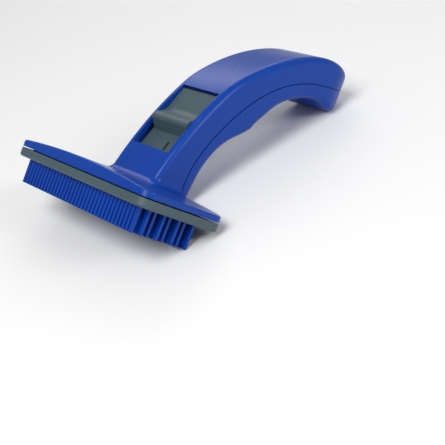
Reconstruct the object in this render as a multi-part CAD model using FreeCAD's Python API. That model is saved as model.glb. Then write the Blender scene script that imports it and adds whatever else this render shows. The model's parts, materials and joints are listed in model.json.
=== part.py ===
"""Self-cleaning pet comb: a pin head on an arched handle, with a thumb slider that pushes
an ejector plate down the pins.

Everything is drawn in the head's own frame (X along the head, Y towards the handle's tail,
Z up out of the head, z = 0 at the ejector plate's lower face), in millimetres.  At the end
the whole comb is laid down as it rests on a table: on its rear pin tips and its tail.
"""
import FreeCAD
import Part
import math
import os
from FreeCAD import Vector

# ---- head -------------------------------------------------------------------
HEAD_LENGTH = 100.0        # along X
HEAD_DEPTH = 45.0          # along Y
CORNER_RADIUS = 6.0
RIM_HEIGHT = 2.6           # head plate's edge at its short ends
CROWN_RISE = 2.6           # how much higher the head plate is at its middle
RIM_WALL = 1.8             # tray wall round the pin base plate
HEAD_EDGE_FILLET = 0.9
FLOOR_THICKNESS = 1.6      # head plate over the spines, inside the handle
OVERRUN = 1.0              # cutters and joined blocks run this far past the faces they meet

# ---- ejector plate ----------------------------------------------------------
EJECTOR_THICKNESS = 4.0
EJECTOR_GAP = 0.6          # air between the ejector plate and the head plate at rest
EJECTOR_FILLET = 1.1
SLOT_WIDTH = 2.6
SLOT_END_MARGIN = 2.2      # slot beyond the last pin
SHALLOW_NOTCH_WIDTH = 57.0
SHALLOW_NOTCH_DEPTH = 2.6
DEEP_NOTCH_WIDTH = 29.0
DEEP_NOTCH_DEPTH = 5.8

# ---- pins -------------------------------------------------------------------
ROW_COUNT = 8
ROW_PITCH = 4.15
ROW_1_SETBACK = 10.7       # row nearest the handle, from the head's rear edge
PIN_PITCH = 2.55
PIN_END_MARGIN = 6.6       # least distance from the head's end to a pin's middle
PIN_REACH = 11.0           # pin below the ejector plate's face
PIN_ROOT_X = 2.25
PIN_ROOT_Y = 1.7
PIN_TIP_X = 1.6
PIN_TIP_Y = 1.2
ROW_1_GAP = 48.0           # central stretch of row 1 with no pins
SPINE_WIDTH = 2.6
SPINE_HEIGHT = 1.0
BASE_PLATE_THICKNESS = 1.2
SEAT_CLEARANCE = 0.1       # base plate and spines in their seats
SPINE_END = 0.4            # spine beyond its last pin
BASE_REAR_SETBACK = 3.6    # base plate's rear edge, from the head's rear edge

# ---- handle -----------------------------------------------------------------
HANDLE_WIDTH = 34.0
SHELL_WALL = 2.2
WINDOW_SETBACK = 10.5      # lower edge of the slider window, from the head's rear edge
WINDOW_HEIGHT = 19.4       # and above the head plate's underside
NECK_LEAN = 23.1           # degrees between the slider's path and the head's normal
NECK_CROWN = 2.2           # bulge of the neck's front face above a straight line
NECK_TOP_MARGIN = 2.0      # front face beyond the window's upper edge
TAIL_REACH = 71.6          # centre of the rounded tail, from the head's rear edge
TAIL_HEIGHT = 79.4         # and above the head plate's underside
TAIL_RADIUS = 11.0
TAIL_TOP_ANGLE = 78.0      # degrees, where the back meets the tail's arc
TAIL_BOTTOM_ANGLE = -108.0
TAIL_PLAN_RADIUS = 19.0    # flanks curve in towards the tail's end
TAIL_PLAN_LENGTH = 17.5
NECK_REAR_REACH = 6.3      # top of the neck's rear wall, which leans in to the foot tab
NECK_REAR_HEIGHT = 13.4
EDGE_FILLET = 3.2
INSET_SAMPLES = 10
NECK_ROOT_FILLET = 4.0
PARTING_GROOVE = 0.15
PARTING_OVERRUN = 20.0     # parting line beyond the tail's centre

# ---- foot tab of the lower shell --------------------------------------------
TAB_WIDTH = 51.0
TAB_OVERHANG = 4.3         # behind the head's rear edge
TAB_DROP = 1.2             # below the head plate's underside
TAB_RISE = 0.9             # and above it
TAB_GAP = 1.2              # between the tab and the ejector plate's deep notch
WING_TIP_RADIUS = 1.2
WING_LENGTH = 4.5
TAB_SIDE_GAP = 0.7
TAB_EDGE_FILLET = 0.8
TAB_STEP = 0.6             # tab's steps behind the ejector plate's shallow notch
REAR_RECESS = 1.4          # step in the head plate's rear edge, beside the tab
LATCH_LENGTH = 3.0         # opening in the tab's left wing
LATCH_INSET = 1.6
LATCH_MARGIN = 0.4

# ---- slider -----------------------------------------------------------------
WINDOW_RIM = 4.0           # handle's flank to the window's side
PAD_LENGTH = 23.8
SLIDER_CLEARANCE = 0.4
PAD_RECESS = 0.7           # thumb pad below the window's ends
PAD_END_GAP = 1.2          # pad's upper end to the window's upper edge
RIDGE_PROUD = 3.4          # thumb ridge above the window's ends
RIDGE_FROM = 4.0           # ridge's crest from the pad's lower end
RIDGE_FACE = (2.6, 0.9)    # top of the ridge's lower face: from the pad's end, below the crest
RIDGE_SHOULDER = (3.2, 0.25)
SCOOP_LENGTH = 8.8         # from the crest to the flat of the pad
SCOOP_MIDDLE = (4.2, 2.3)  # from the crest, and below it
SLIDER_TRAVEL = 11.0
STRIP_DEPTH = 2.8          # carriage strip below the window's rim
STRIP_THICKNESS = 2.0
CROSS_PIN_DIAMETER = 1.6
CROSS_PIN_LOWEST = 14.0    # cross pin at the end of its travel, below the window's lower edge
CROSS_PIN_DEPTH = 8.0      # and square to the neck, below the window's rim
LUG_EDGE = 1.1             # lug round the cross pin
LUG_THICKNESS = 2.0
LUG_ROOT = 0.5             # lug's root inside the strip
LUG_TO = 5.0               # upper end of the lug's root
LUG_WEB_DROP = 0.6         # web's upper edge at the cross pin, past the pin's middle
LUG_NOSE = (0.6, 0.8)      # web's lower corner, as shares of the lug's radius
STRIP_FROM = -1.5          # lower end of the carriage strip
STRIP_SIDE_CLEARANCE = 0.3
TONGUE_DEPTH = 6.6         # tongue that closes the window behind the strip
TONGUE_THICKNESS = 1.4
TONGUE_ROOT = 4.5          # tongue's lower end, from the strip's upper end
TONGUE_ROOT_THICKNESS = 2.5
TONGUE_SIDE_GAP = 0.8
STRIP_OVERLAP = 2.1        # strip beyond the window's upper edge
SLIT_X = 1.8               # slit in the strip, beside its middle
SLIT_WIDTH = 1.5
SLIT_FROM = 2.6
SLIT_TO = 7.2
RAIL_FROM = 1.0
RAIL_TO = 31.0
RAIL_WIDTH = 2.0
RAIL_THICKNESS = 1.4
RAIL_ROOT = 0.5            # rail's root inside the flank
WINDOW_CUT_DEPTH = 2.4     # the window's cut goes just through the wall
ARM_WIDTH = 12.0
ARM_SLOT_PLAY = 0.05
ARM_PRONG = 1.3            # arm above and behind the cross pin's slot
ARM_SLOT_END = 0.2         # slot beyond the cross pin's rest place
ARM_END_GAP = 0.5          # arm to row 2's slot and to the deep notch
ARM_ROOT = 1.0             # arm's root inside the ejector plate
ARM_FRONT_RISE = 5.2       # arm's upright front, above the head plate's underside
ARM_FRONT_STEP = 2.6       # and its step back above that
ARM_TAB_GAP = 0.4          # arm over the foot tab with the plate pushed down
ARM_MOUTH = (0.4, 0.9)     # bevel of the slot's upper lip
ARM_REAR_BEVEL = (1.0, 2.0)
WELL_REAR_WALL = 1.4       # well to the head plate's rear edge
WELL_HEIGHT = 6.0          # well above the spines

# ---- screws -----------------------------------------------------------------
SCREW_DIAMETER = 2.0
SCREW_HEAD_DIAMETER = 3.6
SCREW_LENGTH = 3.2
SCREW_END_MARGIN = 14.0    # outer screws, from the head's ends
SCREW_INNER_X = 18.0
SCREW_OUTER_SETBACK = 5.3  # screws from the head's rear edge
SCREW_INNER_SETBACK = 10.3

# ---- worked out -------------------------------------------------------------
HEAD_BOTTOM_Z = EJECTOR_THICKNESS + EJECTOR_GAP
BASE_TOP_Z = HEAD_BOTTOM_Z + BASE_PLATE_THICKNESS
SPINE_TOP_Z = BASE_TOP_Z + SPINE_HEIGHT
CEILING_Z = SPINE_TOP_Z + SEAT_CLEARANCE
HEAD_REAR_Y = HEAD_DEPTH / 2
PINS_PER_ROW = int((HEAD_LENGTH - 2 * PIN_END_MARGIN) / PIN_PITCH) + 1
ROW_1_Y = HEAD_REAR_Y - ROW_1_SETBACK
BASE_REAR_Y = HEAD_REAR_Y - BASE_REAR_SETBACK
WINDOW_EDGE_Y = HEAD_REAR_Y - WINDOW_SETBACK
WINDOW_EDGE_Z = HEAD_BOTTOM_Z + WINDOW_HEIGHT
WINDOW_WIDTH = HANDLE_WIDTH - 2 * WINDOW_RIM
WINDOW_LENGTH = SLIDER_TRAVEL + SLIDER_CLEARANCE + PAD_LENGTH + PAD_END_GAP
CROSS_PIN_ALONG = SLIDER_TRAVEL - CROSS_PIN_LOWEST
TAIL_Y = HEAD_REAR_Y + TAIL_REACH
TAIL_Z = HEAD_BOTTOM_Z + TAIL_HEIGHT
NECK_REAR_Y = HEAD_REAR_Y + NECK_REAR_REACH
NECK_REAR_Z = HEAD_BOTTOM_Z + NECK_REAR_HEIGHT
NECK_BOTTOM_Z = HEAD_BOTTOM_Z + RIM_HEIGHT
TAB_REAR_Y = HEAD_REAR_Y + TAB_OVERHANG
TAB_BOTTOM_Z = HEAD_BOTTOM_Z - TAB_DROP
TAB_TOP_Z = HEAD_BOTTOM_Z + TAB_RISE
LEAN = math.radians(NECK_LEAN)
FLOOR_Z = CEILING_Z + FLOOR_THICKNESS
EJECTOR_TRAVEL = SLIDER_TRAVEL * math.cos(LEAN)
NOTCH_FRONT_Y = HEAD_REAR_Y - SHALLOW_NOTCH_DEPTH - DEEP_NOTCH_DEPTH
WELL_HALF = ARM_WIDTH / 2 + LUG_THICKNESS + 3 * SLIDER_CLEARANCE
SCREW_PLACES = [(sign * x, HEAD_REAR_Y - setback) for sign in (-1, 1)
                for x, setback in ((HEAD_LENGTH / 2 - SCREW_END_MARGIN, SCREW_OUTER_SETBACK),
                                   (SCREW_INNER_X, SCREW_INNER_SETBACK))]


# ---- helpers ----------------------------------------------------------------
def neck(along, depth, x=0.0):
    """Point given along the neck's front face and below it."""
    y = WINDOW_EDGE_Y + along * math.sin(LEAN) + depth * math.cos(LEAN)
    z = WINDOW_EDGE_Z + along * math.cos(LEAN) - depth * math.sin(LEAN)
    return Vector(x, y, z)


def side(y, z):
    return Vector(0, y, z)


def on_handle(y, z):
    """Point of the handle's side view, from the head plate's rear edge and underside."""
    return side(HEAD_REAR_Y + y, HEAD_BOTTOM_Z + z)


def polyline(points):
    return Part.makePolygon(list(points) + [points[0]])


def slab(wire_or_edges, x_from, x_to):
    """Solid of a YZ outline, from x_from to x_to."""
    wire = wire_or_edges
    if isinstance(wire, list):
        wire = Part.Wire(Part.__sortEdges__(wire))
    wire = wire.copy()
    wire.translate(Vector(x_from, 0, 0))
    return Part.Face(wire).extrude(Vector(x_to - x_from, 0, 0))


def box(x0, x1, y0, y1, z0, z1):
    return Part.makeBox(x1 - x0, y1 - y0, z1 - z0, Vector(x0, y0, z0))


def rounded_prism(length, depth, radius, z0, z1):
    block = box(-length / 2, length / 2, -depth / 2, depth / 2, z0, z1)
    uprights = [e for e in block.Edges if abs(e.tangentAt(e.FirstParameter).z) > 0.9]
    return block.makeFillet(radius, uprights)


def spline(points, first=None, last=None):
    curve = Part.BSplineCurve()
    if first is not None:
        curve.interpolate(points, InitialTangent=first, FinalTangent=last)
    else:
        curve.interpolate(points)
    return curve.toShape()


def row_y(row):
    return ROW_1_Y - (row - 1) * ROW_PITCH


# ---- handle body ------------------------------------------------------------
def tail_point(degrees, radius=TAIL_RADIUS):
    a = math.radians(degrees)
    return side(TAIL_Y + radius * math.cos(a), TAIL_Z + radius * math.sin(a))


def tail_heading(degrees):
    a = math.radians(degrees)
    return side(math.sin(a), -math.cos(a))


def front_ends(inset):
    """Lower and upper end of the neck's front face, and the middle of its bulge."""
    low = (NECK_BOTTOM_Z - WINDOW_EDGE_Z) / math.cos(LEAN)
    high = WINDOW_LENGTH + NECK_TOP_MARGIN
    return neck(low, inset), neck((low + high) / 2, inset - NECK_CROWN), neck(high, inset)


def front_heading():
    """Direction of the neck's front face at its upper end."""
    low, middle, high = front_ends(0)
    arc = Part.Arc(low, middle, high)
    return arc.toShape().tangentAt(arc.LastParameter)


def back_curve_points():
    """Top of the arch, from the window's upper end to the tail."""
    return [front_ends(0)[2], on_handle(13.9, 65.8), on_handle(23.6, 74.1), on_handle(41.2, 84.9),
            on_handle(59.3, 90.9), tail_point(TAIL_TOP_ANGLE)]


def grip_curve_points():
    """Finger grip, from the tail back to the finger ridge."""
    return [tail_point(TAIL_BOTTOM_ANGLE), on_handle(60.5, 70.1), on_handle(51.0, 67.9),
            on_handle(42.6, 63.6), on_handle(35.7, 57.5), on_handle(30.3, 50.1), finger_ridge()]


def finger_ridge():
    return on_handle(26.9, 44.3)


def throat_curve_points():
    """Short concave stretch between the finger ridge and the neck's rear wall."""
    return [finger_ridge(), on_handle(23.0, 40.5), on_handle(17.8, 36.3), on_handle(12.0, 29.4),
            on_handle(8.2, 21.5), side(NECK_REAR_Y, NECK_REAR_Z)]


def rear_wall(z):
    """Point on the neck's rear wall."""
    slope = (NECK_REAR_Y - TAB_REAR_Y) / (NECK_REAR_Z - TAB_BOTTOM_Z)
    return side(TAB_REAR_Y + (z - TAB_BOTTOM_Z) * slope, z)


def inset_points(edge, inset):
    """Points along an edge of the outline, moved square to it into the handle."""
    points = []
    for i in range(INSET_SAMPLES + 1):
        at = edge.FirstParameter + (edge.LastParameter - edge.FirstParameter) * i / INSET_SAMPLES
        heading = edge.tangentAt(at)
        points.append(edge.valueAt(at) + Vector(0, heading.z, -heading.y) * inset)
    return points


def outline_curve(points, first, last, inset):
    edge = spline(points, first, last)
    return inset_points(edge, inset) if inset else points


def handle_edges(bottom_z, inset=0.0):
    """Side outline of the handle, clockwise from the neck's foot, or the same moved inwards."""
    lean = front_heading()
    grip_end = side(-0.42, -0.91)
    throat_start = side(-0.66, -0.75)
    rear = rear_wall(0) - rear_wall(1)
    back = outline_curve(back_curve_points(), lean, tail_heading(TAIL_TOP_ANGLE), inset)
    grip = outline_curve(grip_curve_points(), tail_heading(TAIL_BOTTOM_ANGLE), grip_end, inset)
    throat = outline_curve(throat_curve_points(), throat_start, rear, inset)
    ridge = (grip[-1] + throat[0]) * 0.5
    grip[-1] = ridge
    throat[0] = ridge
    front_bottom = neck((bottom_z - WINDOW_EDGE_Z + inset * math.sin(LEAN)) / math.cos(LEAN), inset)
    front_low, front_middle, _ = front_ends(inset)
    rear_bottom = rear_wall(bottom_z) - side(inset, 0)
    tail_middle = tail_point((TAIL_TOP_ANGLE + TAIL_BOTTOM_ANGLE) / 2, TAIL_RADIUS - inset)
    return [
        Part.LineSegment(front_bottom, front_low).toShape(),
        Part.Arc(front_low, front_middle, back[0]).toShape(),
        spline(back, lean, tail_heading(TAIL_TOP_ANGLE)),
        Part.Arc(back[-1], tail_middle, grip[0]).toShape(),
        spline(grip, tail_heading(TAIL_BOTTOM_ANGLE), grip_end),
        spline(throat, throat_start, rear),
        Part.LineSegment(throat[-1], rear_bottom).toShape(),
        Part.LineSegment(rear_bottom, front_bottom).toShape(),
    ]


def handle_body(bottom_z):
    """Outer form of neck, grip and tail, its long edges rounded."""
    half = HANDLE_WIDTH / 2
    body = slab(handle_edges(bottom_z), -half, half).common(plan_prism(0))
    return body.makeFillet(EDGE_FILLET, long_edges(body, bottom_z))


def long_edges(body, bottom_z):
    """Edges between the flanks and the faces round them, above the foot."""
    seam_y = TAIL_Y + TAIL_RADIUS - TAIL_PLAN_LENGTH
    found = []
    for edge in body.Edges:
        at = (edge.FirstParameter + edge.LastParameter) / 2
        middle = edge.valueAt(at)
        heading = edge.tangentAt(at)
        across = abs(heading.x) > 0.999
        seam = abs(heading.z) > 0.999 and abs(middle.y - seam_y) < 0.01
        if middle.z > bottom_z + 0.01 and not across and not seam:
            found.append(edge)
    return found


def plan_prism(inset):
    """Tall prism of the handle's plan: straight flanks that curve in at the tail."""
    half = HANDLE_WIDTH / 2 - inset
    radius = TAIL_PLAN_RADIUS - inset
    start = TAIL_Y + TAIL_RADIUS - TAIL_PLAN_LENGTH
    end = TAIL_Y + TAIL_RADIUS + OVERRUN - inset
    turn = math.asin((end - start) / radius)
    far = 2 * HEAD_DEPTH

    def arc_point(sign, angle):
        x = half - radius + radius * math.cos(angle)
        return Vector(sign * x, start + radius * math.sin(angle), -far)

    edges = []
    for sign in (-1, 1):
        edges.append(Part.Arc(*[arc_point(sign, turn * k / 2) for k in range(3)]).toShape())
        edges.append(Part.LineSegment(Vector(sign * half, -far, -far), arc_point(sign, 0)).toShape())
    edges.append(Part.LineSegment(arc_point(-1, turn), arc_point(1, turn)).toShape())
    edges.append(Part.LineSegment(Vector(-half, -far, -far), Vector(half, -far, -far)).toShape())
    wire = Part.Wire(Part.__sortEdges__(edges))
    return Part.Face(wire).extrude(Vector(0, 0, 2 * TAIL_Z + far))


def handle_cavity(bottom_z):
    half = HANDLE_WIDTH / 2 - SHELL_WALL
    return slab(handle_edges(bottom_z, SHELL_WALL), -half, half).common(plan_prism(SHELL_WALL))


def parting_points():
    """Line where the two shells meet, seen from the side."""
    return [on_handle(0, 9.4), on_handle(3.9, 27.4), on_handle(14.7, 47.2), on_handle(31.1, 64.8),
            on_handle(45.7, 73.4), on_handle(60.7, 77.6), on_handle(74.5, 79.6),
            on_handle(TAIL_REACH + PARTING_OVERRUN, 80.9)]


def parting_curve():
    return spline(parting_points(), side(0, 1), side(1.0, 0.06))


def above_parting():
    """Everything on the upper shell's side of the parting line."""
    points = parting_points()
    far = HANDLE_WIDTH
    base = side(HEAD_REAR_Y, -far)
    edges = [
        parting_curve(),
        Part.LineSegment(points[-1], side(points[-1].y, TAIL_Z + 2 * far)).toShape(),
        Part.LineSegment(side(points[-1].y, TAIL_Z + 2 * far), side(-2 * far, TAIL_Z + 2 * far)).toShape(),
        Part.LineSegment(side(-2 * far, TAIL_Z + 2 * far), side(-2 * far, -far)).toShape(),
        Part.LineSegment(side(-2 * far, -far), base).toShape(),
        Part.LineSegment(base, points[0]).toShape(),
    ]
    return slab(edges, -far, far)


def parting_groove():
    """Shallow line cut in both flanks where the shells meet."""
    shift = PARTING_GROOVE / 2 * math.sqrt(0.5)
    edges = []
    corners = []
    for sign in (-1, 1):
        move = side(-sign * shift, sign * shift)
        curve = parting_curve()
        curve.translate(move)
        foot = side(HEAD_REAR_Y, NECK_BOTTOM_Z) + move
        first = parting_points()[0] + move
        edges += [Part.LineSegment(foot, first).toShape(), curve]
        corners.append((foot, parting_points()[-1] + move))
    edges.append(Part.LineSegment(corners[0][0], corners[1][0]).toShape())
    edges.append(Part.LineSegment(corners[0][1], corners[1][1]).toShape())
    return slab(edges, -HANDLE_WIDTH, HANDLE_WIDTH).cut(plan_prism(shift))


# ---- head plate -------------------------------------------------------------
def crowned_block():
    """Head plate before it is hollowed: rounded corners and a gently arched top."""
    half = HEAD_LENGTH / 2
    low = HEAD_BOTTOM_Z
    rim = low + RIM_HEIGHT
    edges = [
        Part.LineSegment(Vector(-half, 0, low), Vector(-half, 0, rim)).toShape(),
        Part.Arc(Vector(-half, 0, rim), Vector(0, 0, rim + CROWN_RISE), Vector(half, 0, rim)).toShape(),
        Part.LineSegment(Vector(half, 0, rim), Vector(half, 0, low)).toShape(),
        Part.LineSegment(Vector(half, 0, low), Vector(-half, 0, low)).toShape(),
    ]
    arched = Part.Face(Part.Wire(edges)).extrude(Vector(0, 2 * HEAD_DEPTH, 0))
    arched.translate(Vector(0, -HEAD_DEPTH, 0))
    plate = rounded_prism(HEAD_LENGTH, HEAD_DEPTH, CORNER_RADIUS, low, rim + CROWN_RISE + 1)
    return plate.common(arched)


def top_rim_edges(shell):
    """Upper edges of the head plate's front, ends and rounded corners."""
    found = []
    for edge in shell.Edges:
        middle = edge.CenterOfMass
        on_top = middle.z > HEAD_BOTTOM_Z + RIM_HEIGHT - 0.01
        at_end = abs(middle.x) > HEAD_LENGTH / 2 - CORNER_RADIUS
        at_front = middle.y < -HEAD_DEPTH / 2 + 0.5
        upright = abs(edge.tangentAt(edge.FirstParameter).z) > 0.9
        if on_top and (at_end or at_front) and not upright:
            found.append(edge)
    return found


def base_outline(clearance, z0, z1):
    """Prism of the pin base plate, grown by a clearance."""
    length = HEAD_LENGTH - 2 * RIM_WALL + 2 * clearance
    front = -HEAD_DEPTH / 2 + RIM_WALL - clearance
    rear = BASE_REAR_Y + clearance
    block = box(-length / 2, length / 2, front, rear, z0, z1)
    uprights = [e for e in block.Edges if abs(e.tangentAt(e.FirstParameter).z) > 0.9]
    return block.makeFillet(CORNER_RADIUS - RIM_WALL, uprights)


def tab_outline(clearance, z0, z1):
    """Plan of the foot tab: a tongue in the deep notch, and two rounded wings behind it."""
    c = clearance
    tongue = DEEP_NOTCH_WIDTH / 2 - TAB_SIDE_GAP + c
    front = NOTCH_FRONT_Y + TAB_GAP - c
    step = HEAD_REAR_Y - SHALLOW_NOTCH_DEPTH + TAB_STEP - c
    root = TAB_WIDTH / 2 - WING_LENGTH + c
    tip = TAB_WIDTH / 2 + c
    rear = TAB_REAR_Y + c
    throat = HEAD_REAR_Y + TAB_STEP
    wing = rear - 2 * WING_TIP_RADIUS
    points = [(-tongue, front), (tongue, front), (tongue, step), (root, step), (root, throat),
              (tip, wing), (tip, rear), (-tip, rear), (-tip, wing), (-root, throat),
              (-root, step), (-tongue, step)]
    face = Part.Face(polyline([Vector(x, y, z0) for x, y in points]))
    plate = face.extrude(Vector(0, 0, z1 - z0))
    tips = []
    for edge in plate.Edges:
        middle = edge.valueAt((edge.FirstParameter + edge.LastParameter) / 2)
        upright = abs(edge.tangentAt(edge.FirstParameter).z) > 0.9
        if upright and abs(middle.x) > tip - 0.01:
            tips.append(edge)
    return plate.makeFillet(WING_TIP_RADIUS, tips)


def arm_well():
    """Opening through the head plate for the ejector arm and the slider's lugs."""
    front = row_y(2) + SPINE_WIDTH / 2 + SEAT_CLEARANCE
    upper = box(-WELL_HALF, WELL_HALF, front, HEAD_REAR_Y - WELL_REAR_WALL, TAB_TOP_Z,
                CEILING_Z + WELL_HEIGHT)
    return upper.fuse(arm_hole())


def arm_hole():
    front = row_y(2) + SPINE_WIDTH / 2 + SEAT_CLEARANCE
    half = ARM_WIDTH / 2 + SLIDER_CLEARANCE
    return box(-half, half, front, NOTCH_FRONT_Y + TAB_GAP, HEAD_BOTTOM_Z - 1, CEILING_Z + 1)


def screw_at(place, z_head):
    """Countersunk screw, its flat head facing down."""
    x, y = place
    head_h = (SCREW_HEAD_DIAMETER - SCREW_DIAMETER) / 2
    r_head = SCREW_HEAD_DIAMETER / 2
    r_body = SCREW_DIAMETER / 2
    cone = Part.makeCone(r_head, r_body, head_h, Vector(x, y, z_head))
    body = Part.makeCylinder(r_body, SCREW_LENGTH - head_h, Vector(x, y, z_head + head_h))
    return cone.fuse(body).removeSplitter()


# ---- the pieces -------------------------------------------------------------
def upper_shell():
    neck_part = handle_body(HEAD_BOTTOM_Z + OVERRUN).common(above_parting())
    shell = crowned_block().fuse(neck_part).removeSplitter()
    shell = shell.makeFillet(NECK_ROOT_FILLET, neck_root_edges(shell))
    shell = shell.makeFillet(HEAD_EDGE_FILLET, top_rim_edges(shell))
    shell = shell.cut(handle_cavity(FLOOR_Z))
    for sign in (-1, 1):
        shell = shell.fuse(slider_rail(sign))
        shell = shell.cut(rear_recess(sign))
    shell = shell.cut(window_cut())
    shell = shell.cut(base_outline(SEAT_CLEARANCE, HEAD_BOTTOM_Z - 1, CEILING_Z))
    shell = shell.cut(tab_outline(SEAT_CLEARANCE, HEAD_BOTTOM_Z - 1, TAB_TOP_Z))
    shell = shell.cut(arm_well())
    for place in SCREW_PLACES:
        shell = shell.cut(screw_at(place, HEAD_BOTTOM_Z))
    return shell.cut(parting_groove())


def rear_recess(sign):
    """Step in the head plate's rear edge, beside the foot tab."""
    inner = sign * (TAB_WIDTH / 2 - WING_LENGTH)
    outer = sign * SHALLOW_NOTCH_WIDTH / 2
    return box(min(inner, outer), max(inner, outer), HEAD_REAR_Y - REAR_RECESS, HEAD_REAR_Y + 1,
               HEAD_BOTTOM_Z - 1, HEAD_BOTTOM_Z + RIM_HEIGHT + CROWN_RISE + 1)


def neck_root_edges(shell):
    """Edges where the neck's front and flanks rise out of the head plate."""
    found = []
    half = HANDLE_WIDTH / 2
    for edge in shell.Edges:
        middle = edge.valueAt((edge.FirstParameter + edge.LastParameter) / 2)
        low = CEILING_Z + 0.5 < middle.z < CEILING_Z + 3.5
        inside = abs(middle.x) <= half + 0.01 and 2 < middle.y < HEAD_REAR_Y - 0.2
        flat = abs(edge.tangentAt((edge.FirstParameter + edge.LastParameter) / 2).z) < 0.7
        if low and inside and flat:
            found.append(edge)
    return found


def slider_rail(sign):
    """Rib on a flank's inside that carries the carriage strip from below."""
    top = STRIP_DEPTH + STRIP_THICKNESS + SLIDER_CLEARANCE
    outline = polyline([neck(RAIL_FROM, top), neck(RAIL_TO, top), neck(RAIL_TO, top + RAIL_THICKNESS),
                        neck(RAIL_FROM, top + RAIL_THICKNESS)])
    wall = HANDLE_WIDTH / 2 - SHELL_WALL
    inner = sign * (wall - RAIL_WIDTH)
    outer = sign * (wall + RAIL_ROOT)
    return slab(outline, min(inner, outer), max(inner, outer))


def window_cut():
    half = WINDOW_WIDTH / 2
    outside = -NECK_CROWN - OVERRUN
    outline = polyline([neck(0, outside), neck(WINDOW_LENGTH, outside),
                        neck(WINDOW_LENGTH, WINDOW_CUT_DEPTH), neck(0, WINDOW_CUT_DEPTH)])
    return slab(outline, -half, half)


def lower_shell():
    body = handle_body(TAB_TOP_Z - TAB_EDGE_FILLET).cut(above_parting())
    body = body.cut(handle_cavity(TAB_TOP_Z))
    tab = tab_outline(0, TAB_BOTTOM_Z, TAB_TOP_Z)
    body = body.fuse(tab.makeFillet(TAB_EDGE_FILLET, tab_heel_edges(tab)))
    latch_x = -TAB_WIDTH / 2 + LATCH_INSET
    latch = box(latch_x, latch_x + LATCH_LENGTH, HEAD_REAR_Y - SHALLOW_NOTCH_DEPTH,
                HEAD_REAR_Y - LATCH_MARGIN, TAB_BOTTOM_Z - 1, TAB_TOP_Z + 1)
    return body.cut(latch).cut(parting_groove())


def tab_heel_edges(body):
    """Lower rear edge of the foot tab."""
    found = []
    for edge in body.Edges:
        middle = edge.CenterOfMass
        level = abs(edge.tangentAt(edge.FirstParameter).x) > 0.9
        if level and middle.z < TAB_BOTTOM_Z + 0.01 and middle.y > TAB_REAR_Y - 0.1:
            found.append(edge)
    return found


def base_plate():
    plate = base_outline(0, HEAD_BOTTOM_Z, BASE_TOP_Z)
    plate = plate.cut(tab_outline(SEAT_CLEARANCE, HEAD_BOTTOM_Z - 1, BASE_TOP_Z + 1))
    plate = plate.cut(arm_hole())
    for row in range(1, ROW_COUNT + 1):
        for first, last in row_spans(row):
            x0 = first - PIN_ROOT_X / 2 - SEAT_CLEARANCE
            x1 = last + PIN_ROOT_X / 2 + SEAT_CLEARANCE
            half = PIN_ROOT_Y / 2 + SEAT_CLEARANCE
            plate = plate.cut(box(x0, x1, row_y(row) - half, row_y(row) + half,
                                  HEAD_BOTTOM_Z - 1, BASE_TOP_Z + 1))
    for place in SCREW_PLACES:
        plate = plate.cut(screw_at(place, HEAD_BOTTOM_Z))
    return plate


def row_pins(row):
    """Pin places along X; every other row is shifted by half a pitch."""
    shifted = row % 2 == 0
    count = PINS_PER_ROW - 1 if shifted else PINS_PER_ROW
    first = -PIN_PITCH * (count - 1) / 2
    return [first + i * PIN_PITCH for i in range(count)]


def row_spans(row):
    """First and last pin of each strip in a row; row 1 is in two strips."""
    pins = row_pins(row)
    if row > 1:
        return [(pins[0], pins[-1])]
    right = [x for x in pins if x > ROW_1_GAP / 2]
    return [(-right[-1], -right[0]), (right[0], right[-1])]


def comb_strip(row, first, last):
    """One row of tapered pins on a flat spine."""
    y = row_y(row)
    root_z = BASE_TOP_Z
    half_root = PIN_ROOT_X / 2
    half_tip = PIN_TIP_X / 2
    points = [(first - half_root - SPINE_END, SPINE_TOP_Z), (first - half_root - SPINE_END, root_z)]
    for x in row_pins(row):
        if first - 0.01 < x < last + 0.01:
            points += [(x - half_root, root_z), (x - half_tip, -PIN_REACH),
                       (x + half_tip, -PIN_REACH), (x + half_root, root_z)]
    points += [(last + half_root + SPINE_END, root_z), (last + half_root + SPINE_END, SPINE_TOP_Z)]
    comb = Part.Face(polyline([Vector(x, y - HEAD_DEPTH, z) for x, z in points]))
    comb = comb.extrude(Vector(0, 2 * HEAD_DEPTH, 0))
    half_spine = SPINE_WIDTH / 2
    taper = [(half_spine, SPINE_TOP_Z), (half_spine, root_z), (PIN_ROOT_Y / 2, root_z),
             (PIN_TIP_Y / 2, -PIN_REACH)]
    mirrored = [(-a, z) for a, z in reversed(taper)]
    outline = polyline([side(y + a, z) for a, z in taper + mirrored])
    return comb.common(slab(outline, -HEAD_LENGTH, HEAD_LENGTH))


def ejector_plate():
    plate = rounded_prism(HEAD_LENGTH, HEAD_DEPTH, CORNER_RADIUS, 0, EJECTOR_THICKNESS)
    shallow = box(-SHALLOW_NOTCH_WIDTH / 2, SHALLOW_NOTCH_WIDTH / 2,
                  HEAD_REAR_Y - SHALLOW_NOTCH_DEPTH, HEAD_REAR_Y + 1, -1, EJECTOR_THICKNESS + 1)
    deep = box(-DEEP_NOTCH_WIDTH / 2, DEEP_NOTCH_WIDTH / 2, NOTCH_FRONT_Y, HEAD_REAR_Y + 1,
               -1, EJECTOR_THICKNESS + 1)
    plate = plate.cut(shallow).cut(deep)
    flat = [e for e in plate.Edges if abs(e.tangentAt(e.FirstParameter).z) < 0.1]
    lower = [e for e in flat if e.valueAt(e.FirstParameter).z < 0.01]
    plate = plate.makeFillet(EJECTOR_FILLET, lower)
    for row in range(1, ROW_COUNT + 1):
        for first, last in row_spans(row):
            half = SLOT_WIDTH / 2
            plate = plate.cut(box(first - SLOT_END_MARGIN, last + SLOT_END_MARGIN, row_y(row) - half,
                                  row_y(row) + half, -1, EJECTOR_THICKNESS + 1))
    return plate.fuse(ejector_arm()).removeSplitter()


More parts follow.
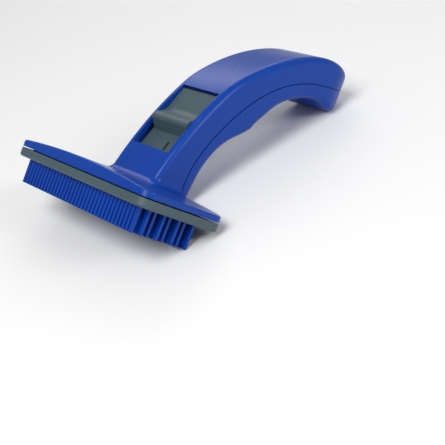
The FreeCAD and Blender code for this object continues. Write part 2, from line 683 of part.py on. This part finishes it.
def ejector_arm():
    """Arm that rises into the neck and holds the cross pin in an open level slot."""
    pin = neck(CROSS_PIN_ALONG, CROSS_PIN_DEPTH)
    reach = SLIDER_TRAVEL * math.sin(LEAN)
    slot = CROSS_PIN_DIAMETER / 2 + ARM_SLOT_PLAY
    front = row_y(2) + SLOT_WIDTH / 2 + ARM_END_GAP
    rear = NOTCH_FRONT_Y - ARM_END_GAP
    floor = EJECTOR_THICKNESS - ARM_ROOT
    wing_bottom = TAB_TOP_Z + EJECTOR_TRAVEL + ARM_TAB_GAP
    wing_top = pin.z + slot + ARM_PRONG
    slot_end = pin.y + slot + ARM_SLOT_END
    back = slot_end + ARM_PRONG
    mouth = pin.y - reach - slot
    lip, lip_top = ARM_MOUTH
    bevel_y, bevel_z = ARM_REAR_BEVEL
    points = [side(front, floor), side(front, HEAD_BOTTOM_Z + ARM_FRONT_RISE),
              side(front + ARM_FRONT_STEP, wing_bottom), side(mouth, pin.z - slot),
              side(slot_end, pin.z - slot), side(slot_end, pin.z + slot),
              side(mouth + lip, pin.z + slot), side(mouth + lip_top, wing_top),
              side(back, wing_top), side(back, wing_bottom), side(rear + bevel_y, wing_bottom),
              side(rear, wing_bottom - bevel_z), side(rear, floor)]
    return slab(polyline(points), -ARM_WIDTH / 2, ARM_WIDTH / 2)


def slider_carriage():
    """Strip under the window, with a tongue that closes it when the slider is down."""
    top = STRIP_DEPTH
    under = STRIP_DEPTH + STRIP_THICKNESS
    half = HANDLE_WIDTH / 2 - SHELL_WALL - STRIP_SIDE_CLEARANCE
    end = WINDOW_LENGTH + STRIP_OVERLAP
    strip = slab(polyline([neck(STRIP_FROM, top), neck(end, top), neck(end, under),
                           neck(STRIP_FROM, under)]), -half, half)
    tongue_half = half - RAIL_WIDTH - TONGUE_SIDE_GAP
    root = end - TONGUE_ROOT
    root_end = root + TONGUE_ROOT_THICKNESS
    far = end + SLIDER_TRAVEL
    tongue_under = TONGUE_DEPTH + TONGUE_THICKNESS
    tongue = slab(polyline([neck(root, under), neck(root_end, under), neck(root_end, TONGUE_DEPTH),
                            neck(far, TONGUE_DEPTH), neck(far, tongue_under),
                            neck(root, tongue_under)]), -tongue_half, tongue_half)
    body = strip.fuse(tongue)
    for sign in (-1, 1):
        body = body.fuse(lug(sign))
    body = body.cut(cross_pin(CROSS_PIN_DIAMETER))
    return body.cut(latch_slit()).removeSplitter()


def lug(sign):
    """Ear under the strip that carries one end of the cross pin."""
    inner = ARM_WIDTH / 2 + SLIDER_CLEARANCE
    outer = inner + LUG_THICKNESS
    radius = CROSS_PIN_DIAMETER / 2 + LUG_EDGE
    under = STRIP_DEPTH + STRIP_THICKNESS - LUG_ROOT
    down, back = LUG_NOSE
    web = slab(polyline([neck(STRIP_FROM, under), neck(LUG_TO, under),
                         neck(CROSS_PIN_ALONG + radius, CROSS_PIN_DEPTH + LUG_WEB_DROP),
                         neck(CROSS_PIN_ALONG - radius * down, CROSS_PIN_DEPTH - radius * back)]),
               sign * inner, sign * outer)
    centre = neck(CROSS_PIN_ALONG, CROSS_PIN_DEPTH, min(sign * inner, sign * outer))
    return web.fuse(Part.makeCylinder(radius, LUG_THICKNESS, centre, Vector(1, 0, 0)))


def cross_pin(diameter):
    half = ARM_WIDTH / 2 + SLIDER_CLEARANCE + LUG_THICKNESS
    start = neck(CROSS_PIN_ALONG, CROSS_PIN_DEPTH, -half)
    return Part.makeCylinder(diameter / 2, 2 * half, start, Vector(1, 0, 0))


def latch_slit():
    """Narrow slit in the strip's visible end."""
    deep = STRIP_DEPTH + STRIP_THICKNESS + OVERRUN
    outline = polyline([neck(SLIT_FROM, 0), neck(SLIT_TO, 0), neck(SLIT_TO, deep), neck(SLIT_FROM, deep)])
    return slab(outline, SLIT_X, SLIT_X + SLIT_WIDTH)


def thumb_pad():
    """Pad in the window: flat at its upper end, then a scoop up to a ridge for the thumb."""
    half = WINDOW_WIDTH / 2 - SLIDER_CLEARANCE
    foot = SLIDER_TRAVEL + SLIDER_CLEARANCE
    end = foot + PAD_LENGTH
    crest = foot + RIDGE_FROM
    under = neck(foot, STRIP_DEPTH)
    face_top = neck(foot + RIDGE_FACE[0], RIDGE_FACE[1] - RIDGE_PROUD)
    shoulder = neck(foot + RIDGE_SHOULDER[0], RIDGE_SHOULDER[1] - RIDGE_PROUD)
    crest_top = neck(crest, -RIDGE_PROUD)
    scoop = [crest_top, neck(crest + SCOOP_MIDDLE[0], SCOOP_MIDDLE[1] - RIDGE_PROUD),
             neck(crest + SCOOP_LENGTH, PAD_RECESS)]
    along = Vector(0, math.sin(LEAN), math.cos(LEAN))
    far = neck(end, PAD_RECESS)
    edges = [
        Part.LineSegment(under, face_top).toShape(),
        spline([face_top, shoulder, crest_top]),
        spline(scoop, along, along),
        Part.LineSegment(scoop[-1], far).toShape(),
        Part.LineSegment(far, neck(end, STRIP_DEPTH)).toShape(),
        Part.LineSegment(neck(end, STRIP_DEPTH), under).toShape(),
    ]
    return slab(edges, -half, half)


def base_screws():
    return Part.makeCompound([screw_at(place, HEAD_BOTTOM_Z) for place in SCREW_PLACES])


# ---- resting attitude -------------------------------------------------------
def rest_tilt():
    """Turn about X that brings the rear pin tips and the tail down to the table."""
    dy = TAIL_Y - ROW_1_Y - PIN_TIP_Y / 2
    dz = TAIL_Z + PIN_REACH
    return math.degrees(math.atan2(dz, dy) - math.asin(TAIL_RADIUS / math.hypot(dy, dz)))


def placed(pieces, placement):
    result = {}
    for name, shape in pieces.items():
        result[name] = shape.copy()
        result[name].Placement = placement.multiply(shape.Placement)
    return result


def laid_down(pieces):
    """Pieces as they rest on a table, centred over the origin."""
    turn = FreeCAD.Rotation(Vector(1, 0, 0), -rest_tilt())
    turned = placed(pieces, FreeCAD.Placement(Vector(0, 0, 0), turn))
    whole = Part.makeCompound(list(turned.values())).optimalBoundingBox(False)
    shift = Vector(-whole.Center.x, -whole.Center.y, -whole.ZMin)
    print("tilt %.4f shift %.4f %.4f %.4f" % ((rest_tilt(),) + tuple(shift)))
    return placed(turned, FreeCAD.Placement(shift, FreeCAD.Rotation()))


def all_pieces():
    pieces = {
        "upper_shell": upper_shell(),
        "lower_shell": lower_shell(),
        "pin_base_plate": base_plate(),
        "base_plate_screws": base_screws(),
        "ejector_plate": ejector_plate(),
        "slider_carriage": slider_carriage(),
        "thumb_pad": thumb_pad(),
        "cross_pin": cross_pin(CROSS_PIN_DIAMETER),
    }
    for row in range(1, ROW_COUNT + 1):
        for side_name, (first, last) in zip(("left", "right"), row_spans(row)):
            name = "comb_strip_%d" % row
            if row == 1:
                name += "_" + side_name
            pieces[name] = comb_strip(row, first, last)
    return pieces


def main():
    os.makedirs("parts", exist_ok=True)
    for name, shape in laid_down(all_pieces()).items():
        print(name, len(shape.Solids), shape.isValid(), round(shape.Volume, 1))
        shape.exportStep("parts/%s.step" % name)


main()
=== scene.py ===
"""Looks of the self-cleaning grooming comb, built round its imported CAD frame.

The frame carries every piece in metres: +X along the head, +Y towards the handle's tail,
+Z up from the table that the comb lies on.
"""
import json
import math

import bpy
from mathutils import Matrix, Vector

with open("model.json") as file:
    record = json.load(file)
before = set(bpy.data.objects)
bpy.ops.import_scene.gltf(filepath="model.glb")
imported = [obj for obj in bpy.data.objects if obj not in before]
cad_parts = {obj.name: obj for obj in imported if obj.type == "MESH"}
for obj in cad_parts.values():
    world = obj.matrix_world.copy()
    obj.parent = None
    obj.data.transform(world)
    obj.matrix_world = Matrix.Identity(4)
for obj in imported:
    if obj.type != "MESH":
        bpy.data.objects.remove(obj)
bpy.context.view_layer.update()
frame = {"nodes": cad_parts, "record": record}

# ---- colours (linear) -------------------------------------------------------
SHELL_BLUE = (0.0016, 0.0440, 0.3050)
SHELL_BLUE_DEEP = (0.0012, 0.0400, 0.2850)
PIN_BLUE = (0.0016, 0.0480, 0.3500)
PIN_BLUE_DEEP = (0.0012, 0.0400, 0.3100)
SCUFF_BLUE = (0.0450, 0.1000, 0.3400)
GREY = (0.0620, 0.0960, 0.1120)
GREY_DEEP = (0.0530, 0.0850, 0.1000)
SCUFF_GREY = (0.1300, 0.1600, 0.1700)
STEEL = (0.5600, 0.5700, 0.5800)
STEEL_DEEP = (0.3800, 0.3900, 0.4000)
FLOOR_WHITE = (0.8200, 0.8200, 0.8200)
WORLD_WHITE = (1.0, 1.0, 1.0, 1.0)

# ---- surfaces: noise scales count per metre, bump distances are in metres ---
FULL = (0.0, 1.0)                 # whole range of a mask
NOISE_BAND = (0.3, 0.7)           # stretch of a noise's values that is spread out

FLOW_SCALE = 38.0                 # faint flow in moulded colour
SCUFF_SCALE = 110.0
SCUFF_BAND = (0.66, 0.85)
SCUFF_SHARE = (0.0, 0.12)         # of the scuff colour
SCUFF_ROUGHNESS = (0.0, 0.06)     # added to the roughness
SCRATCH_SCALE = 150.0
SCRATCH_ROTATION = (0.3, 0.2, 0.6)
SCRATCH_STRETCH = (1.0, 9.0, 3.0)
SCRATCH_BAND = (0.70, 0.73)
SCRATCH_SHARE = (0.0, 0.12)
CLOUD_SCALE = 60.0                # uneven gloss
WAVE_SCALE = 70.0                 # slow unevenness of a moulded face
WAVE_DISTANCE = 0.000012
GRAIN_DISTANCE = 0.0000004
PLASTIC_IOR = 1.5

STEEL_STRETCH = (1.0, 12.0, 12.0)
STEEL_SCALE = 900.0
STEEL_ROUGHNESS = (0.22, 0.42)
STEEL_DISTANCE = 0.000008

FLOOR_SCALE = 6.0
FLOOR_SHADE = 0.985               # darkest part of the floor, of its white
FLOOR_ROUGHNESS = 0.7

# slot: material name, (colour, deep colour, scuff colour), roughness, grain scale, gloss
PLASTICS = {
    "blue_shell_plastic": ("blue_shell", (SHELL_BLUE, SHELL_BLUE_DEEP, SCUFF_BLUE),
                           (0.27, 0.33), 4200.0, 0.24),
    "blue_pin_plastic": ("blue_pin", (PIN_BLUE, PIN_BLUE_DEEP, SCUFF_BLUE),
                         (0.18, 0.26), 5200.0, 0.22),
    "grey_plastic": ("grey_satin", (GREY, GREY_DEEP, SCUFF_GREY),
                     (0.36, 0.48), 3600.0, 0.26),
}

# ---- stage ------------------------------------------------------------------
FLOOR_SIZE = 6.0
WORLD_STRENGTH = 0.34
# name, place, aim, (width, height), power in watts
LIGHTS = (
    ("key", (0.25, -0.55, 0.85), (0, 0, 0.02), (0.45, 0.60), 8.4),
    ("back", (-0.55, 0.50, 0.50), (0, 0, 0.03), (0.70, 0.30), 1.7),
    ("side", (0.80, 0.25, 0.45), (0, 0, 0.02), (0.35, 0.35), 2.8),
)

# ---- camera -----------------------------------------------------------------
CAMERA_PLACE = Vector((0.3592, -0.2443, 0.2203))
CAMERA_AZIMUTH = 56.50     # degrees; 0 looks along +Y, 90 along -X
CAMERA_ELEVATION = 30.05   # degrees above the horizon
CAMERA_ROLL = -14.58       # degrees
CAMERA_LENS = 82.9         # mm
CAMERA_SENSOR = 36.0       # mm
CAMERA_CLIP_START = 0.01


# ---- node helpers -----------------------------------------------------------
def new_material(name):
    """Material with one shader, and the place in the object that its textures follow."""
    material = bpy.data.materials.new(name)
    material.use_nodes = True
    tree = material.node_tree
    tree.nodes.clear()
    output = tree.nodes.new("ShaderNodeOutputMaterial")
    shader = tree.nodes.new("ShaderNodeBsdfPrincipled")
    tree.links.new(shader.outputs["BSDF"], output.inputs["Surface"])
    place = tree.nodes.new("ShaderNodeTexCoord").outputs["Object"]
    return material, tree, shader, place


def noise(tree, place, scale, detail=3.0, roughness=0.5):
    node = tree.nodes.new("ShaderNodeTexNoise")
    node.inputs["Scale"].default_value = scale
    node.inputs["Detail"].default_value = detail
    node.inputs["Roughness"].default_value = roughness
    tree.links.new(place, node.inputs["Vector"])
    return node.outputs["Fac"]


def remap(tree, value, band, to_band):
    node = tree.nodes.new("ShaderNodeMapRange")
    node.inputs["From Min"].default_value, node.inputs["From Max"].default_value = band
    node.inputs["To Min"].default_value, node.inputs["To Max"].default_value = to_band
    tree.links.new(value, node.inputs["Value"])
    return node.outputs["Result"]


def stretched(tree, place, scale, rotation=(0.0, 0.0, 0.0)):
    node = tree.nodes.new("ShaderNodeMapping")
    node.inputs["Rotation"].default_value = rotation
    node.inputs["Scale"].default_value = scale
    tree.links.new(place, node.inputs["Vector"])
    return node.outputs["Vector"]


def mix_colour(tree, factor, first, second):
    """Colour between two, each a plain colour or another node's output."""
    node = tree.nodes.new("ShaderNodeMix")
    node.data_type = "RGBA"
    tree.links.new(factor, node.inputs["Factor"])
    for socket, value in (("A_Color", first), ("B_Color", second)):
        target = next(s for s in node.inputs if s.identifier == socket)
        if isinstance(value, tuple):
            target.default_value = value + (1.0,)
        else:
            tree.links.new(value, target)
    return next(s for s in node.outputs if s.identifier == "Result_Color")


def add(tree, first, second):
    node = tree.nodes.new("ShaderNodeMath")
    node.operation = "ADD"
    tree.links.new(first, node.inputs[0])
    tree.links.new(second, node.inputs[1])
    return node.outputs["Value"]


def bump(tree, shader, layers):
    """Bump of one or more layers, each (height socket, distance in metres)."""
    normal = None
    for height, distance in layers:
        node = tree.nodes.new("ShaderNodeBump")
        node.inputs["Distance"].default_value = distance
        tree.links.new(height, node.inputs["Height"])
        if normal is not None:
            tree.links.new(normal, node.inputs["Normal"])
        normal = node.outputs["Normal"]
    tree.links.new(normal, shader.inputs["Normal"])


def scratches(tree, place):
    """Thin drawn-out marks along one direction, 1 on a mark and 0 between."""
    along = stretched(tree, place, SCRATCH_STRETCH, SCRATCH_ROTATION)
    return remap(tree, noise(tree, along, SCRATCH_SCALE, 1.0, 0.4), SCRATCH_BAND, FULL)


# ---- materials --------------------------------------------------------------
def moulded_plastic(name, colours, roughness, grain, gloss):
    """Moulded plastic: faint flow in its colour, uneven gloss, fine grain, scuffs, scratches."""
    material, tree, shader, place = new_material(name)
    colour, deep, scuff_colour = colours

    flow = remap(tree, noise(tree, place, FLOW_SCALE), NOISE_BAND, FULL)
    scuffs = remap(tree, noise(tree, place, SCUFF_SCALE), SCUFF_BAND, SCUFF_SHARE)
    marks = remap(tree, scratches(tree, place), FULL, SCRATCH_SHARE)
    base = mix_colour(tree, flow, deep, colour)
    base = mix_colour(tree, scuffs, base, scuff_colour)
    base = mix_colour(tree, marks, base, scuff_colour)
    tree.links.new(base, shader.inputs["Base Color"])

    cloud = remap(tree, noise(tree, place, CLOUD_SCALE, 2.0), NOISE_BAND, roughness)
    scuffed = remap(tree, scuffs, SCUFF_SHARE, SCUFF_ROUGHNESS)
    tree.links.new(add(tree, cloud, scuffed), shader.inputs["Roughness"])

    bump(tree, shader, [(noise(tree, place, WAVE_SCALE, 1.0, 0.4), WAVE_DISTANCE),
                        (noise(tree, place, grain, 2.0), GRAIN_DISTANCE)])
    shader.inputs["IOR"].default_value = PLASTIC_IOR
    shader.inputs["Specular IOR Level"].default_value = gloss
    return material


def plain_steel(name):
    """Steel with fine lines drawn out along X."""
    material, tree, shader, place = new_material(name)
    lines = noise(tree, stretched(tree, place, STEEL_STRETCH), STEEL_SCALE, 4.0, 0.6)
    tree.links.new(mix_colour(tree, lines, STEEL_DEEP, STEEL), shader.inputs["Base Color"])
    tree.links.new(remap(tree, lines, NOISE_BAND, STEEL_ROUGHNESS), shader.inputs["Roughness"])
    bump(tree, shader, [(lines, STEEL_DISTANCE)])
    shader.inputs["Metallic"].default_value = 1.0
    return material


def floor_material():
    material, tree, shader, place = new_material("pale_floor")
    cloud = noise(tree, place, FLOOR_SCALE)
    shade = tuple(channel * FLOOR_SHADE for channel in FLOOR_WHITE)
    tree.links.new(mix_colour(tree, cloud, shade, FLOOR_WHITE), shader.inputs["Base Color"])
    shader.inputs["Roughness"].default_value = FLOOR_ROUGHNESS
    return material


def dress_cad_nodes():
    """Gives each CAD piece the material of its slot in the record."""
    materials = {slot: moulded_plastic(*look) for slot, look in PLASTICS.items()}
    materials["steel"] = plain_steel("plain_steel")
    slots = {part["node"]: part["material_slot"] for part in frame["record"]["subparts"]}
    for name, node in frame["nodes"].items():
        node.data.materials.clear()
        node.data.materials.append(materials[slots[name]])


# ---- floor, lights and camera -----------------------------------------------
def make_floor():
    bpy.ops.mesh.primitive_plane_add(size=FLOOR_SIZE, location=(0, 0, 0))
    floor = bpy.context.object
    floor.name = "floor"
    floor.data.materials.append(floor_material())


def area_light(name, place, aim, size, power):
    data = bpy.data.lights.new(name, "AREA")
    data.shape = "RECTANGLE"
    data.size, data.size_y = size
    data.energy = power
    light = bpy.data.objects.new(name, data)
    bpy.context.scene.collection.objects.link(light)
    light.location = place
    light.rotation_mode = "QUATERNION"
    light.rotation_quaternion = (Vector(aim) - Vector(place)).to_track_quat("-Z", "Y")


def make_lights():
    for light in LIGHTS:
        area_light(*light)
    world = bpy.data.worlds.new("studio")
    bpy.context.scene.world = world
    world.use_nodes = True
    background = world.node_tree.nodes["Background"]
    background.inputs["Color"].default_value = WORLD_WHITE
    background.inputs["Strength"].default_value = WORLD_STRENGTH
    bpy.context.scene.view_settings.view_transform = "Standard"


def make_camera():
    azimuth = math.radians(CAMERA_AZIMUTH)
    elevation = math.radians(CAMERA_ELEVATION)
    towards = Vector((-math.sin(azimuth) * math.cos(elevation),
                      math.cos(azimuth) * math.cos(elevation), -math.sin(elevation)))
    data = bpy.data.cameras.new("camera")
    data.lens = CAMERA_LENS
    data.sensor_width = CAMERA_SENSOR
    data.clip_start = CAMERA_CLIP_START
    camera = bpy.data.objects.new("camera", data)
    bpy.context.scene.collection.objects.link(camera)
    level = towards.to_track_quat("-Z", "Y").to_matrix().to_4x4()
    roll = Matrix.Rotation(math.radians(CAMERA_ROLL), 4, "Z")
    camera.matrix_world = Matrix.Translation(CAMERA_PLACE) @ level @ roll
    bpy.context.scene.camera = camera


dress_cad_nodes()
make_floor()
make_lights()
make_camera()
